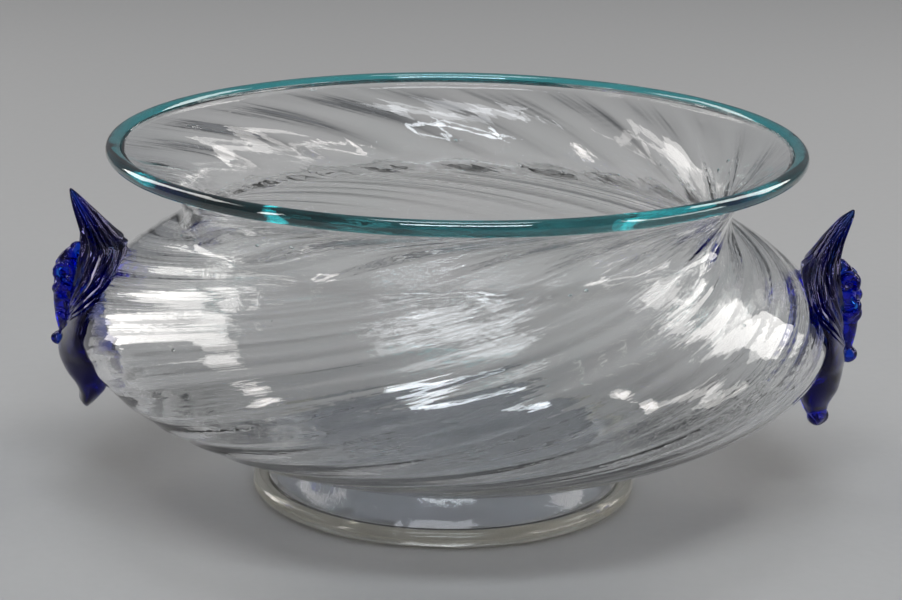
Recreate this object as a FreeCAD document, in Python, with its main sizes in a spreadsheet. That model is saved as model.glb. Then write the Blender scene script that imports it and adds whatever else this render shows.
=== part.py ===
import FreeCAD, Part
import math
import os

import Sketcher

Vector = FreeCAD.Vector

# A blown glass finger bowl on a round foot: a swirled, ribbed body with a wide turned-out lip,
# a thread of glass laid on the lip's edge, and two fluted handles set on the belly.
# Millimetres, +Z up. The origin is on the table under the middle of the mouth. The handles lie
# along X, each turned a little to the front.

doc = FreeCAD.newDocument("finger_bowl")

# Sizes

sheet = doc.addObject("Spreadsheet::Sheet", "sizes")
SIZES = {
    # mouth and lip
    "rim_radius": 62.5,
    "rim_height": 65.3,
    "thread_diameter": 2.8,
    "lip_wall": 2.0,
    "lip_slope": 28,
    # neck and shoulder, on the outer face
    "neck_radius": 49.3,
    "neck_height": 51.4,
    "shoulder_radius": 50.7,
    "shoulder_height": 49.3,
    "shoulder_slope": 30,
    # belly and base, on the outer face
    "belly_radius": 68,
    "belly_height": 31.8,
    "belly_wall": 2.2,
    "base_radius": 26.5,
    "base_slope": 15,
    "floor_thickness": 3.8,
    # swirled ribs
    "rib_count": 20,
    "rib_relief": 0.3,
    "belly_swirl": 2.9,
    "lip_swirl": 1.5,
    "rib_fade": 9,
    # foot
    "foot_radius": 35.2,
    "foot_height": 7.2,
    "foot_offset": -1.6,
    "ring_diameter": 3.1,
    "crease_angle": 130,
    "foot_neck_radius": 27.8,
    "foot_sweep_radius": 11,
    "standing_width": 1.4,
    "hollow_step": 1.8,
    "hollow_height": 3.0,
    "pontil_radius": 8,
    "pontil_depth": 0.6,
    # handles; a stand is how far a face lies beyond the belly's widest line
    "handle_turn": 3.0,
    "tip_stand": 2.4,
    "tip_height": 53.9,
    "tip_radius": 0.9,
    "horn_stand": -0.1,
    "horn_height": 47.6,
    "horn_depth": 6.3,
    "pad_stand": 3.4,
    "pad_height": 38.5,
    "pad_depth": 6.0,
    "pad_half_width": 15.4,
    "low_stand": 3.5,
    "low_height": 25.5,
    "tail_stand": 1.2,
    "tail_height": 16.0,
    "tail_radius": 2.3,
    "flute_count": 12,
    "flute_depth": 0.8,
    "ridge_radius": 2.7,
    "ridge_half_width": 3.3,
    "ridge_half_length": 8.2,
    "ridge_stand": 5.1,
    "ridge_height": 35.0,
    "upper_knob_radius": 3.0,
    "upper_knob_stand": 3.4,
    "upper_knob_height": 42.8,
    "middle_knob_radius": 4.0,
    "middle_knob_stand": 5.3,
    "middle_knob_height": 38.0,
    "lower_knob_radius": 3.3,
    "lower_knob_stand": 4.9,
    "lower_knob_height": 32.4,
    "bump_radius": 2.4,
    "bump_stand": 6.0,
    "bump_height": 27.2,
}
for row, (name, value) in enumerate(SIZES.items(), start=1):
    sheet.set("A%d" % row, name)
    sheet.set("B%d" % row, str(value))
    sheet.setAlias("B%d" % row, name)
doc.recompute()


def size(name):
    return float(sheet.get(name))


def bind(thing, prop, text):
    thing.setExpression(prop, text)


def ahead(point, slope, distance):
    """The point a distance from another along a slope in degrees, in the (radius, height) plane."""
    angle = math.radians(slope)
    return (point[0] + distance * math.cos(angle), point[1] + distance * math.sin(angle))


# Profile of the wall, as cubic spans in the plane of radius and height

def span(start, start_slope, end, end_slope, start_pull=0.36, end_pull=0.36):
    """A cubic that leaves start and meets end along the given slopes; a pull is a share of the chord."""
    chord = math.dist(start, end)
    poles = [
        start,
        ahead(start, start_slope, start_pull * chord),
        ahead(end, end_slope, -end_pull * chord),
        end,
    ]
    curve = Part.BezierCurve()
    curve.setPoles([Vector(r, 0, z) for r, z in poles])
    return curve


def lip_seat():
    """The two corners of the lip's edge, outer and inner, on which the thread lies."""
    thread_radius = size("thread_diameter") / 2
    half_wall = size("lip_wall") / 2
    centre = (size("rim_radius") - thread_radius, size("rim_height") - thread_radius)
    middle = ahead(centre, size("lip_slope"), -math.sqrt(thread_radius**2 - half_wall**2))
    outer = ahead(middle, size("lip_slope") - 90, half_wall)
    inner = ahead(middle, size("lip_slope") + 90, half_wall)
    return outer, inner


def outer_spans():
    base = (size("base_radius"), size("foot_height"))
    belly = (size("belly_radius"), size("belly_height"))
    shoulder = (size("shoulder_radius"), size("shoulder_height"))
    neck = (size("neck_radius"), size("neck_height"))
    lip = lip_seat()[0]
    shoulder_slope = 180 - size("shoulder_slope")
    run_out = ahead(lip, size("lip_slope"), 2.5 * size("lip_wall"))
    return [
        span(base, size("base_slope"), belly, 90, 0.34, 0.235),
        span(belly, 90, shoulder, shoulder_slope, 0.30, 0.30),
        span(shoulder, shoulder_slope, neck, 90),
        span(neck, 90, lip, size("lip_slope"), 0.40, 0.40),
        span(lip, size("lip_slope"), run_out, size("lip_slope")),
    ]


def inner_spans():
    wall = size("belly_wall")
    floor = (0, size("foot_height") + size("floor_thickness"))
    belly = (size("belly_radius") - wall, size("belly_height"))
    shoulder_slope = 180 - size("shoulder_slope")
    shoulder = ahead((size("shoulder_radius"), size("shoulder_height")), shoulder_slope + 90, wall)
    neck = (size("neck_radius") - wall, size("neck_height"))
    return [
        span(floor, 0, belly, 90, 0.55, 0.165),
        span(belly, 90, shoulder, shoulder_slope, 0.30, 0.30),
        span(shoulder, shoulder_slope, neck, 90),
        span(neck, 90, lip_seat()[1], size("lip_slope"), 0.40, 0.40),
    ]


# Ribbed outer form, skinned over one scalloped ring at each station along the profile

def ease(share):
    share = min(1.0, max(0.0, share))
    return share * share * (3 - 2 * share)


def stations(spans, pitch):
    """(length so far, radius, height, share of the lip) at steps of about pitch along the spans."""
    found = []
    start = 0.0
    neck_length = sum(curve.length() for curve in spans[:3])
    lip_length = spans[3].length()
    for place, curve in enumerate(spans):
        length = curve.length()
        count = max(2, round(length / pitch))
        closing = 1 if place == len(spans) - 1 else 0
        for step in range(count + closing):
            point = curve.value(curve.parameterAtDistance(length * step / count))
            along = start + length * step / count
            found.append((along, point.x, point.z, (along - neck_length) / lip_length))
        start += length
    return found


def scalloped_ring(radius, height, relief, phase):
    """Points of one level ring, six to a rib, with its crests turned by phase."""
    count = int(size("rib_count"))
    points = []
    for step in range(6 * count):
        turn = 2 * math.pi * step / (6 * count)
        reach = radius + relief / 2 * math.cos(count * (turn - phase))
        points.append(Vector(reach * math.cos(turn), reach * math.sin(turn), height))
    return points


def skin(rings, lengths):
    """A smooth surface, closed around and open at both ends, through rings of equal number."""
    around = [float(step) for step in range(len(rings[0]) + 1)]
    sections = []
    for ring in rings:
        section = Part.BSplineCurve()
        section.interpolate(Points=ring, PeriodicFlag=True, Parameters=around)
        sections.append(section)
    poles = []
    for column in zip(*[section.getPoles() for section in sections]):
        rising = Part.BSplineCurve()
        rising.interpolate(Points=list(column), Parameters=lengths)
        poles.append(rising.getPoles())
    across = sections[0]
    surface = Part.BSplineSurface()
    surface.buildFromPolesMultsKnots(
        poles,
        across.getMultiplicities(),
        rising.getMultiplicities(),
        across.getKnots(),
        rising.getKnots(),
        True,
        False,
        across.Degree,
        rising.Degree,
    )
    return surface


def capped(surface):
    """The solid inside a skinned surface, closed by a flat face over each end."""
    face = surface.toShape()
    ends = [edge for edge in face.Edges if edge.isClosed() and edge.BoundBox.ZLength < 1e-6]
    lids = [Part.Face(Part.Wire(edge)) for edge in ends]
    shell = Part.Shell([face] + lids)
    shell.sewShape()
    solid = Part.Solid(shell)
    solid.fix(1e-6, 1e-6, 1e-6)
    if solid.Volume < 0:
        solid.reverse()
    return solid


def ribbed_form():
    # the crests climb one rib's width in this length of the profile, which takes six stations
    climb = 360 / size("rib_count") / size("belly_swirl")
    places = stations(outer_spans(), climb / 6)
    fade_start = 1 - size("rib_fade") / outer_spans()[3].length()
    rings = []
    phase = 0.0
    before = 0.0
    for along, radius, height, lip_share in places:
        swirl = size("belly_swirl") + (size("lip_swirl") - size("belly_swirl")) * ease(lip_share)
        phase += math.radians(swirl) * (along - before)
        before = along
        fade = 1 - ease((lip_share - fade_start) / (1 - fade_start))
        rings.append(scalloped_ring(radius, height, size("rib_relief") * fade, phase))
    return capped(skin(rings, [place[0] for place in places]))


def hollow_form():
    """What is taken out of the ribbed form: the inside, and all beyond the lip's edge."""
    outer, inner = lip_seat()
    past = ahead(outer, size("lip_slope") - 90, size("lip_wall") / 2)
    clear = size("rim_radius") + size("belly_radius")
    top = size("rim_height") + size("foot_height")
    spans = inner_spans()
    corners = [inner, past, (clear, past[1]), (clear, top), (0, top)]
    corners.append((0, size("foot_height") + size("floor_thickness")))
    edges = [curve.toShape() for curve in spans]
    for start, end in zip(corners[:-1], corners[1:]):
        edges.append(Part.makeLine(Vector(start[0], 0, start[1]), Vector(end[0], 0, end[1])))
    return Part.Face(Part.Wire(edges)).revolve(Vector(0, 0, 0), Vector(0, 0, 1), 360)


def feature(name, shape):
    thing = doc.addObject("Part::Feature", name)
    thing.Shape = shape
    thing.Placement = FreeCAD.Placement()
    return thing


# Turned pieces, each a sketch of half its section in the XZ plane, turned about Z

def origin_plane(body, role):
    return next(part for part in body.Origin.OriginFeatures if part.Role == role)


def section_sketch(body, name):
    sketch = body.newObject("Sketcher::SketchObject", name)
    sketch.AttachmentSupport = [(origin_plane(body, "XZ_Plane"), "")]
    sketch.MapMode = "FlatFace"
    return sketch


def relate(sketch, kind, *places):
    sketch.addConstraint(Sketcher.Constraint(kind, *places))


def measure(sketch, name, dimension, value, text):
    """One named dimension of a sketch, bound to the sheet."""
    sketch.addConstraint(Sketcher.Constraint(*dimension, value))
    sketch.renameConstraint(sketch.ConstraintCount - 1, name)
    bind(sketch, "Constraints." + name, text)


def turned(body, sketch, name):
    turn = body.newObject("PartDesign::Revolution", name)
    turn.Profile = sketch
    turn.ReferenceAxis = (sketch, ["V_Axis"])
    turn.Angle = 360
    body.Tip = turn
    return turn


def arc(centre, radius, start, end):
    circle = Part.Circle(Vector(centre[0], centre[1], 0), Vector(0, 0, 1), radius)
    return Part.ArcOfCircle(circle, math.radians(start), math.radians(end))


def line(start, end):
    return Part.LineSegment(Vector(start[0], start[1], 0), Vector(end[0], end[1], 0))


# Thread on the lip's edge: a round thread with a flat where it lies on the lip

def rim_band():
    band = doc.addObject("PartDesign::Body", "rim_thread")
    band.Label = "rim_band"
    section = section_sketch(band, "thread_section")
    radius = size("thread_diameter") / 2
    middle = (size("rim_radius") - radius, size("rim_height") - radius)
    half_angle = math.degrees(math.asin(size("lip_wall") / 2 / radius))
    seat_outer, seat_inner = lip_seat()
    back = size("lip_slope") - 180
    thread = section.addGeometry(arc(middle, radius, back + half_angle, back + 360 - half_angle))
    flat = section.addGeometry(line(seat_inner, seat_outer))
    relate(section, "Coincident", thread, 1, flat, 2)
    relate(section, "Coincident", thread, 2, flat, 1)
    measure(section, "thread_radius", ("Radius", thread), radius, "sizes.thread_diameter / 2")
    measure(section, "thread_out", ("DistanceX", -1, 1, thread, 3), middle[0],
            "sizes.rim_radius - sizes.thread_diameter / 2")
    measure(section, "thread_up", ("DistanceY", -1, 1, thread, 3), middle[1],
            "sizes.rim_height - sizes.thread_diameter / 2")
    measure(section, "seat_width", ("Distance", flat), size("lip_wall"), "sizes.lip_wall")
    measure(section, "seat_fall", ("DistanceY", flat, 2, flat, 1), seat_inner[1] - seat_outer[1],
            "sizes.lip_wall * cos(sizes.lip_slope * 1 deg)")
    turned(band, section, "thread_turn")
    return band


# Foot: a thick disc with a rounded ring at its edge, hollowed underneath and set a little off centre

def foot_sweep(start, end, radius):
    """The hollow curve from the foot's neck down to the crease of its ring."""
    chord = math.dist(start, end)
    fall = math.degrees(math.atan2(end[1] - start[1], end[0] - start[0]))
    middle = ahead(start, fall, chord / 2)
    centre = ahead(middle, fall + 90, math.sqrt(radius**2 - chord**2 / 4))
    angles = [math.degrees(math.atan2(z - centre[1], r - centre[0])) for r, z in (start, end)]
    return arc(centre, radius, *angles)


def foot_piece():
    body = doc.addObject("PartDesign::Body", "applied_foot")
    body.Label = "foot"
    profile = section_sketch(body, "foot_section")
    ring = size("ring_diameter") / 2
    middle = (size("foot_radius") - ring, ring)
    crease = ahead(middle, size("crease_angle"), ring)
    top = (0, size("foot_height"))
    neck = (size("foot_neck_radius"), size("foot_height"))
    inside = (middle[0] - size("standing_width"), 0)
    hollow_edge = (inside[0] - size("hollow_step"), size("hollow_step"))
    pontil_edge = (size("pontil_radius"), size("hollow_height"))
    pontil_top = (0, size("hollow_height") + size("pontil_depth"))
    pontil_curve = (size("pontil_radius") ** 2 + size("pontil_depth") ** 2) / (2 * size("pontil_depth"))
    pontil_middle = (0, pontil_top[1] - pontil_curve)
    pontil_angle = math.degrees(math.atan2(pontil_edge[1] - pontil_middle[1], pontil_edge[0]))

    seat = profile.addGeometry(line(top, neck))
    sweep = profile.addGeometry(foot_sweep(neck, crease, size("foot_sweep_radius")))
    edge = profile.addGeometry(arc(middle, ring, -90, size("crease_angle")))
    standing = profile.addGeometry(line((middle[0], 0), inside))
    step = profile.addGeometry(line(inside, hollow_edge))
    hollow = profile.addGeometry(line(hollow_edge, pontil_edge))
    pontil = profile.addGeometry(arc(pontil_middle, pontil_curve, pontil_angle, 90))
    axis = profile.addGeometry(line(pontil_top, top))
    corners = [
        (seat, 2, sweep, 1),
        (sweep, 2, edge, 2),
        (edge, 1, standing, 1),
        (standing, 2, step, 1),
        (step, 2, hollow, 1),
        (hollow, 2, pontil, 1),
        (pontil, 2, axis, 1),
        (axis, 2, seat, 1),
    ]
    for corner in corners:
        relate(profile, "Coincident", *corner)
    relate(profile, "Horizontal", seat)
    relate(profile, "Horizontal", standing)
    relate(profile, "PointOnObject", seat, 1, -2)
    relate(profile, "PointOnObject", pontil, 2, -2)
    relate(profile, "PointOnObject", pontil, 3, -2)
    relate(profile, "Vertical", edge, 1, edge, 3)
    measure(profile, "seat_up", ("DistanceY", -1, 1, seat, 1), top[1], "sizes.foot_height")
    measure(profile, "seat_width", ("DistanceX", -1, 1, seat, 2), neck[0], "sizes.foot_neck_radius")
    measure(profile, "sweep_round", ("Radius", sweep), size("foot_sweep_radius"), "sizes.foot_sweep_radius")
    measure(profile, "ring_round", ("Radius", edge), ring, "sizes.ring_diameter / 2")
    measure(profile, "ring_out", ("DistanceX", -1, 1, edge, 3), middle[0],
            "sizes.foot_radius - sizes.ring_diameter / 2")
    measure(profile, "ring_up", ("DistanceY", -1, 1, edge, 3), ring, "sizes.ring_diameter / 2")
    measure(profile, "crease_in", ("DistanceX", edge, 2, edge, 3), middle[0] - crease[0],
            "-sizes.ring_diameter / 2 * cos(sizes.crease_angle * 1 deg)")
    measure(profile, "standing_width", ("DistanceX", standing, 2, standing, 1), size("standing_width"),
            "sizes.standing_width")
    measure(profile, "step_in", ("DistanceX", step, 2, step, 1), size("hollow_step"), "sizes.hollow_step")
    measure(profile, "step_up", ("DistanceY", step, 1, step, 2), size("hollow_step"), "sizes.hollow_step")
    measure(profile, "pontil_out", ("DistanceX", -1, 1, pontil, 1), pontil_edge[0], "sizes.pontil_radius")
    measure(profile, "pontil_up", ("DistanceY", -1, 1, pontil, 1), pontil_edge[1], "sizes.hollow_height")
    measure(profile, "pontil_rise", ("DistanceY", pontil, 1, pontil, 2), size("pontil_depth"),
            "sizes.pontil_depth")
    turned(body, profile, "foot_turn")
    bind(body, "Placement.Base.x", "sizes.foot_offset")
    return body


# Handles: a fluted gather drawn up into a horn and down into a tail, with knobs on its outer face

def edge_curve(places):
    curve = Part.BSplineCurve()
    curve.interpolate(Points=[Vector(reach, 0, height) for reach, height in places])
    return curve


def reach_at(curve, height):
    """How far out the curve lies at a height."""
    level = Part.Plane(Vector(0, 0, height), Vector(0, 0, 1))
    return curve.intersect(level)[0][0].X


def fluted_ring(inner, outer, half_width, depth, height):
    """A closed level section of the handle between two reaches, with flutes around it."""
    middle = (inner + outer) / 2
    half_depth = (outer - inner) / 2
    count = int(size("flute_count"))
    points = []
    for place in range(6 * count):
        turn = 2 * math.pi * place / (6 * count)
        cut = depth * (1 - math.cos(count * turn)) / 2
        out = middle + (half_depth - cut) * math.cos(turn)
        points.append(Vector(out, (half_width - cut) * math.sin(turn), height))
    ring_curve = Part.BSplineCurve()
    ring_curve.interpolate(Points=points, PeriodicFlag=True)
    return Part.Wire(ring_curve.toShape())


def handle_sections(side):
    """Level sections of the gather, from the tail to the tip of the horn."""
    tail, low, pad, horn, tip = [
        (size("belly_radius") + size(place + "_stand"), size(place + "_height"))
        for place in ("tail", "low", "pad", "horn", "tip")
    ]
    depth = 2 * size("pad_depth")
    outer = edge_curve([tail, low, pad, horn, tip])
    inner = edge_curve([
        (tail[0] - 2 * size("tail_radius"), tail[1]),
        (low[0] - depth, low[1]),
        (pad[0] - depth, pad[1]),
        (horn[0] - size("horn_depth"), horn[1]),
        (tip[0] - 2 * size("tip_radius"), tip[1]),
    ])
    sections = []
    levels = 12
    for level in range(levels + 1):
        share = level / levels
        height = tail[1] + (tip[1] - tail[1]) * share
        swell = math.sin(math.pi * share**0.8) ** 1.2 if 0 < level < levels else 0
        end_radius = size("tail_radius") + (size("tip_radius") - size("tail_radius")) * share
        half_width = end_radius + (size("pad_half_width") - end_radius) * swell
        if level == 0:
            reaches = (tail[0] - 2 * size("tail_radius"), tail[0])
        elif level == levels:
            reaches = (tip[0] - 2 * size("tip_radius"), tip[0])
        else:
            reaches = (reach_at(inner, height), reach_at(outer, height))
        ring_wire = fluted_ring(*reaches, half_width, size("flute_depth") * swell, height)
        sections.append(feature("%s_section_%02d" % (side, level), ring_wire))
    return sections


def ball(side, name, radius, stand, height):
    """A ball on the handle's middle line; each size is an expression on the sheet."""
    thing = doc.addObject("Part::Sphere", "%s_%s" % (side, name))
    bind(thing, "Radius", radius)
    bind(thing, "Placement.Base.x", "sizes.belly_radius + %s - (%s)" % (stand, radius))
    bind(thing, "Placement.Base.z", height)
    return thing


def ridge(side):
    """The upright swelling that the knobs stand on; each size is an expression on the sheet."""
    thing = doc.addObject("Part::Ellipsoid", side + "_ridge")
    bind(thing, "Radius1", "sizes.ridge_half_length")
    bind(thing, "Radius2", "sizes.ridge_radius")
    bind(thing, "Radius3", "sizes.ridge_half_width")
    bind(thing, "Placement.Base.x", "sizes.belly_radius + sizes.ridge_stand - sizes.ridge_radius")
    bind(thing, "Placement.Base.z", "sizes.ridge_height")
    return thing


def handle(side, turn):
    gather = doc.addObject("Part::Loft", side + "_gather")
    gather.Sections = handle_sections(side)
    gather.Solid = True
    gather.Ruled = False
    lumps = [ridge(side)] + [
        ball(side, knob, "sizes.%s_radius" % knob, "sizes.%s_stand" % knob, "sizes.%s_height" % knob)
        for knob in ("upper_knob", "middle_knob", "lower_knob", "bump")
    ]
    swelling = "sizes.flute_depth / 4"
    for end in ("tail", "tip"):
        radius = "sizes.%s_radius + %s" % (end, swelling)
        stand = "sizes.%s_stand + %s" % (end, swelling)
        lumps.append(ball(side, end, radius, stand, "sizes.%s_height" % end))
    whole = doc.addObject("Part::MultiFuse", side + "_whole")
    whole.Shapes = [gather] + lumps
    whole.Placement = FreeCAD.Placement(Vector(0, 0, 0), FreeCAD.Rotation(Vector(0, 0, 1), 1))
    bind(whole, "Placement.Rotation.Angle", turn)
    seated = doc.addObject("Part::Cut", side + "_seated")
    seated.Label = side + "_handle"
    seated.Base = whole
    seated.Tool = outer_form
    return seated


# The pieces

outer_form = feature("ribbed_form", ribbed_form())
bowl = doc.addObject("Part::Cut", "bowl")
bowl.Label = "bowl_body"
bowl.Base = outer_form
bowl.Tool = feature("hollow_form", hollow_form())
pieces = [
    bowl,
    rim_band(),
    foot_piece(),
    handle("left", "(180 + sizes.handle_turn) * 1 deg"),
    handle("right", "-sizes.handle_turn * 1 deg"),
]


# Checks, then one file for each piece

doc.recompute()
for thing in doc.Objects:
    if "Invalid" in thing.State or "Error" in thing.State:
        raise RuntimeError("%s could not be built: %s" % (thing.Label, thing.State))

os.makedirs("parts", exist_ok=True)
for piece in pieces:
    shape = piece.Shape
    if shape.isNull() or not shape.isValid():
        raise RuntimeError("%s is not a sound solid" % piece.Label)
    print(piece.Label, len(shape.Solids), round(shape.Volume, 1), shape.BoundBox)
    shape.exportStep("parts/%s.step" % piece.Label)
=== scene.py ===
"""Dresses the blown glass finger bowl: swirled body, drawn rim thread, applied foot and two cobalt handles."""

from __future__ import annotations

import logging
import math
from dataclasses import dataclass
from enum import Enum
from functools import cache

import bpy
import numpy as np
from mathutils import Matrix, Vector


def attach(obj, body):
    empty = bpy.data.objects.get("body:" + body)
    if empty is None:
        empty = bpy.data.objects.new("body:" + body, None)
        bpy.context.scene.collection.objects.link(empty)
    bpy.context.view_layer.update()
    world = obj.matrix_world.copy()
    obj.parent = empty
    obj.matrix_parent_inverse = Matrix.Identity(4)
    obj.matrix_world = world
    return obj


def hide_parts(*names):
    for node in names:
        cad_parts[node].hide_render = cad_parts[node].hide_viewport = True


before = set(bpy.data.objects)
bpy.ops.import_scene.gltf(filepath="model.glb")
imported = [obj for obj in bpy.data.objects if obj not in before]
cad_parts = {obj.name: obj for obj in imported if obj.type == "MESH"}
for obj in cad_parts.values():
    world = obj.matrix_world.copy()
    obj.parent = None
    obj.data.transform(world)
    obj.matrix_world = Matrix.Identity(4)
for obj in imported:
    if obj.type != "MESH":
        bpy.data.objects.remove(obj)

log = logging.getLogger("finger_bowl")

SWIRL_MARK = "carried"
# Name under which the foot keeps its painted light and shade bands.
PAINTED_BANDS_MARK = "painted_light_bands"
FULL_TURN = 2 * math.pi
STRETCH_POINTS = 121
ONES = (1.0, 1.0, 1.0)
WHITE = (1.0, 1.0, 1.0, 1.0)
TENTHS_PER_METRE = 10000

Colour = tuple[float, float, float, float]
Triple = tuple[float, float, float]
Pair = tuple[float, float]
Array = np.ndarray
Faces = list[tuple[int, ...]]
Thing = bpy.types.Object
Tree = bpy.types.ShaderNodeTree
Socket = bpy.types.NodeSocket


# Curves and meshes


def eased(share: Array | float) -> Array | float:
    """A smooth step from 0 to 1 over the same range."""
    held = np.clip(share, 0.0, 1.0)
    return held * held * (3 - 2 * held)


def rippled(turn: Array, terms: tuple[Triple, ...]) -> Array:
    """A sum of waves round the bowl, each given by its share, how many fit in a turn, and its lead in radians."""
    return sum(share * np.sin(count * turn + lead) for share, count, lead in terms)


def round_turn(count: int) -> Array:
    """Even angles once round, in one row."""
    return np.linspace(0, FULL_TURN, count, endpoint=False)[None, :]


def ahead(point: Pair, slope: float, distance: float) -> Pair:
    """Steps along a slope in degrees in the (radius, height) plane, 0 straight out and 90 straight up."""
    angle = math.radians(slope)
    return (point[0] + distance * math.cos(angle), point[1] + distance * math.sin(angle))


def slope_to(start: Pair, end: Pair) -> float:
    """The slope in degrees from one point to another in the same plane."""
    return math.degrees(math.atan2(end[1] - start[1], end[0] - start[0]))


def swept(
    start: Pair, start_slope: float, end: Pair, end_slope: float, start_pull: float = 0.36, end_pull: float = 0.36
) -> Array:
    """One smooth stretch of a blown wall's section line.

    Args:
        start: First point, (radius, height).
        start_slope: Slope in degrees at the start.
        end: Last point.
        end_slope: Slope in degrees at the end.
        start_pull: How far the start's slope holds, as a share of the chord.
        end_pull: The same at the end.

    Returns:
        The points along the stretch, one per row.
    """
    chord = math.dist(start, end)
    poles = [start, ahead(start, start_slope, start_pull * chord), ahead(end, end_slope, -end_pull * chord), end]
    share = np.linspace(0, 1, STRETCH_POINTS)[:, None]
    return sum(math.comb(3, k) * (1 - share) ** (3 - k) * share**k * np.array(poles[k]) for k in range(4))


def turned_arc(centre: Pair, radius: float, start: float, end: float, count: int) -> Array:
    """Points of an arc in the (radius, height) plane, between two angles in degrees."""
    angles = np.radians(np.linspace(start, end, count))
    return np.column_stack([centre[0] + radius * np.cos(angles), centre[1] + radius * np.sin(angles)])


def lengths_along(line: Array) -> Array:
    """The length so far at each point of a line."""
    steps = np.linalg.norm(np.diff(line, axis=0), axis=1)
    return np.concatenate([[0.0], np.cumsum(steps)])


def evenly(line: Array, pitch: float) -> Array:
    """The same line with its points evenly spread.

    Args:
        line: The line's points, one per row.
        pitch: About how far apart they should be.

    Returns:
        The new points.
    """
    along = lengths_along(line)
    count = max(2, round(along[-1] / pitch) + 1)
    wanted = np.linspace(0, along[-1], count)
    return np.column_stack([np.interp(wanted, along, line[:, axis]) for axis in range(line.shape[1])])


def rings_at(reach: Array | float, turn: Array, height: Array) -> Array:
    """Points shaped (rows, columns, 3), from their reach, angle and height."""
    return np.stack(np.broadcast_arrays(reach * np.cos(turn), reach * np.sin(turn), height), axis=2)


def ball_angles(rows: int, columns: int) -> tuple[Array, Array]:
    """The rise of each ring of a ball, in a column without its poles, and the angles round it, in a row."""
    return np.linspace(-math.pi / 2, math.pi / 2, rows + 2)[1:-1][:, None], round_turn(columns)


def shaded_mesh(name: str, points: Array, faces: Faces) -> Thing:
    """Makes a smooth-shaded object and links it to the scene.

    Args:
        name: The piece's name.
        points: Its corners, one per row, in metres.
        faces: Corner numbers of each face.

    Returns:
        The new object.
    """
    mesh = bpy.data.meshes.new(name)
    mesh.from_pydata(points.reshape(-1, 3).tolist(), [], faces)
    mesh.polygons.foreach_set("use_smooth", [True] * len(mesh.polygons))
    mesh.update()
    made = bpy.data.objects.new(name, mesh)
    bpy.context.scene.collection.objects.link(made)
    return made


def ring_faces(rows: int, columns: int) -> Faces:
    """Four-sided faces between neighbouring closed rings, facing outward when the rings climb.

    Args:
        rows: Number of rings.
        columns: Points in each ring.

    Returns:
        Corner numbers of each face.
    """
    faces = []
    for low in range(0, (rows - 1) * columns, columns):
        for column in range(columns):
            beside = (column + 1) % columns
            faces.append((low + column, low + beside, low + columns + beside, low + columns + column))
    return faces


def closed_skin(rings: Array, start: Array, end: Array) -> tuple[Array, Faces]:
    """A watertight skin through climbing rings, closed by a point at each end.

    Args:
        rings: Points shaped (rows, columns, 3).
        start: The closing point under the first ring.
        end: The closing point over the last ring.

    Returns:
        All points and all faces.
    """
    rows, columns, _ = rings.shape
    points = np.vstack([rings.reshape(-1, 3), start, end])
    under, over = rows * columns, rows * columns + 1
    faces = ring_faces(rows, columns)
    last = (rows - 1) * columns
    for column in range(columns):
        beside = (column + 1) % columns
        faces.append((beside, column, under))
        faces.append((last + column, last + beside, over))
    return points, faces


def merged_skins(parts: list[Array]) -> tuple[Array, Faces]:
    """Several closed skins as one.

    Args:
        parts: The rings of each skin.

    Returns:
        All points and all faces.
    """
    points, faces = [], []
    first = 0
    for rings in parts:
        some, made = closed_skin(rings, rings[0].mean(axis=0), rings[-1].mean(axis=0))
        points.append(some)
        faces += [tuple(first + corner for corner in face) for face in made]
        first += len(some)
    return np.vstack(points), faces


def mark_corners(piece: Thing, name: str, marks: Array) -> None:
    """Keeps three numbers on each corner of a mesh, for a shader to read."""
    kept = piece.data.attributes.new(name, "FLOAT_VECTOR", "POINT")
    kept.data.foreach_set("vector", marks.astype(np.float32).ravel())


# Shader groups shared by the glasses


def feed(node: bpy.types.Node, values: dict[str | int, object]) -> None:
    """Sets some of a node's inputs.

    Args:
        node: The node.
        values: What each input gets: a socket is linked to it, anything else becomes its own value.
    """
    for label, value in values.items():
        if isinstance(value, bpy.types.NodeSocket):
            node.id_data.links.new(value, node.inputs[label])
        else:
            node.inputs[label].default_value = value


def add_node(tree: Tree, kind: str, values: dict[str | int, object], **choices: object) -> bpy.types.Node:
    """Adds a shader node.

    Args:
        tree: The tree it goes into.
        kind: Blender's name of the node, without the ShaderNode in front.
        values: What each input gets, as in feed.
        choices: The node's own settings.

    Returns:
        The new node.
    """
    node = tree.nodes.new("ShaderNode" + kind)
    for setting, choice in choices.items():
        setattr(node, setting, choice)
    feed(node, values)
    return node


def math_node(tree: Tree, operation: str, *values: Socket | float) -> Socket:
    """The result of a math node, with a socket or a number for each operand."""
    return add_node(tree, "Math", dict(enumerate(values)), operation=operation).outputs[0]


def noise_node(tree: Tree, vector: Socket, scale: Socket | float, detail: float) -> Socket:
    """The value of a noise texture."""
    return add_node(tree, "TexNoise", {"Vector": vector, "Scale": scale, "Detail": detail}).outputs["Fac"]


def object_place(tree: Tree, stretch: Triple = ONES) -> Socket:
    """The place on the piece, stretched by a factor along each axis."""
    where = add_node(tree, "TexCoord", {}).outputs["Object"]
    return add_node(tree, "Mapping", {"Vector": where, "Scale": stretch}).outputs["Vector"]


def marked(tree: Tree, name: str) -> Socket:
    """What mark_corners kept on the mesh under a name."""
    return add_node(tree, "Attribute", {}, attribute_name=name).outputs["Vector"]


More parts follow.
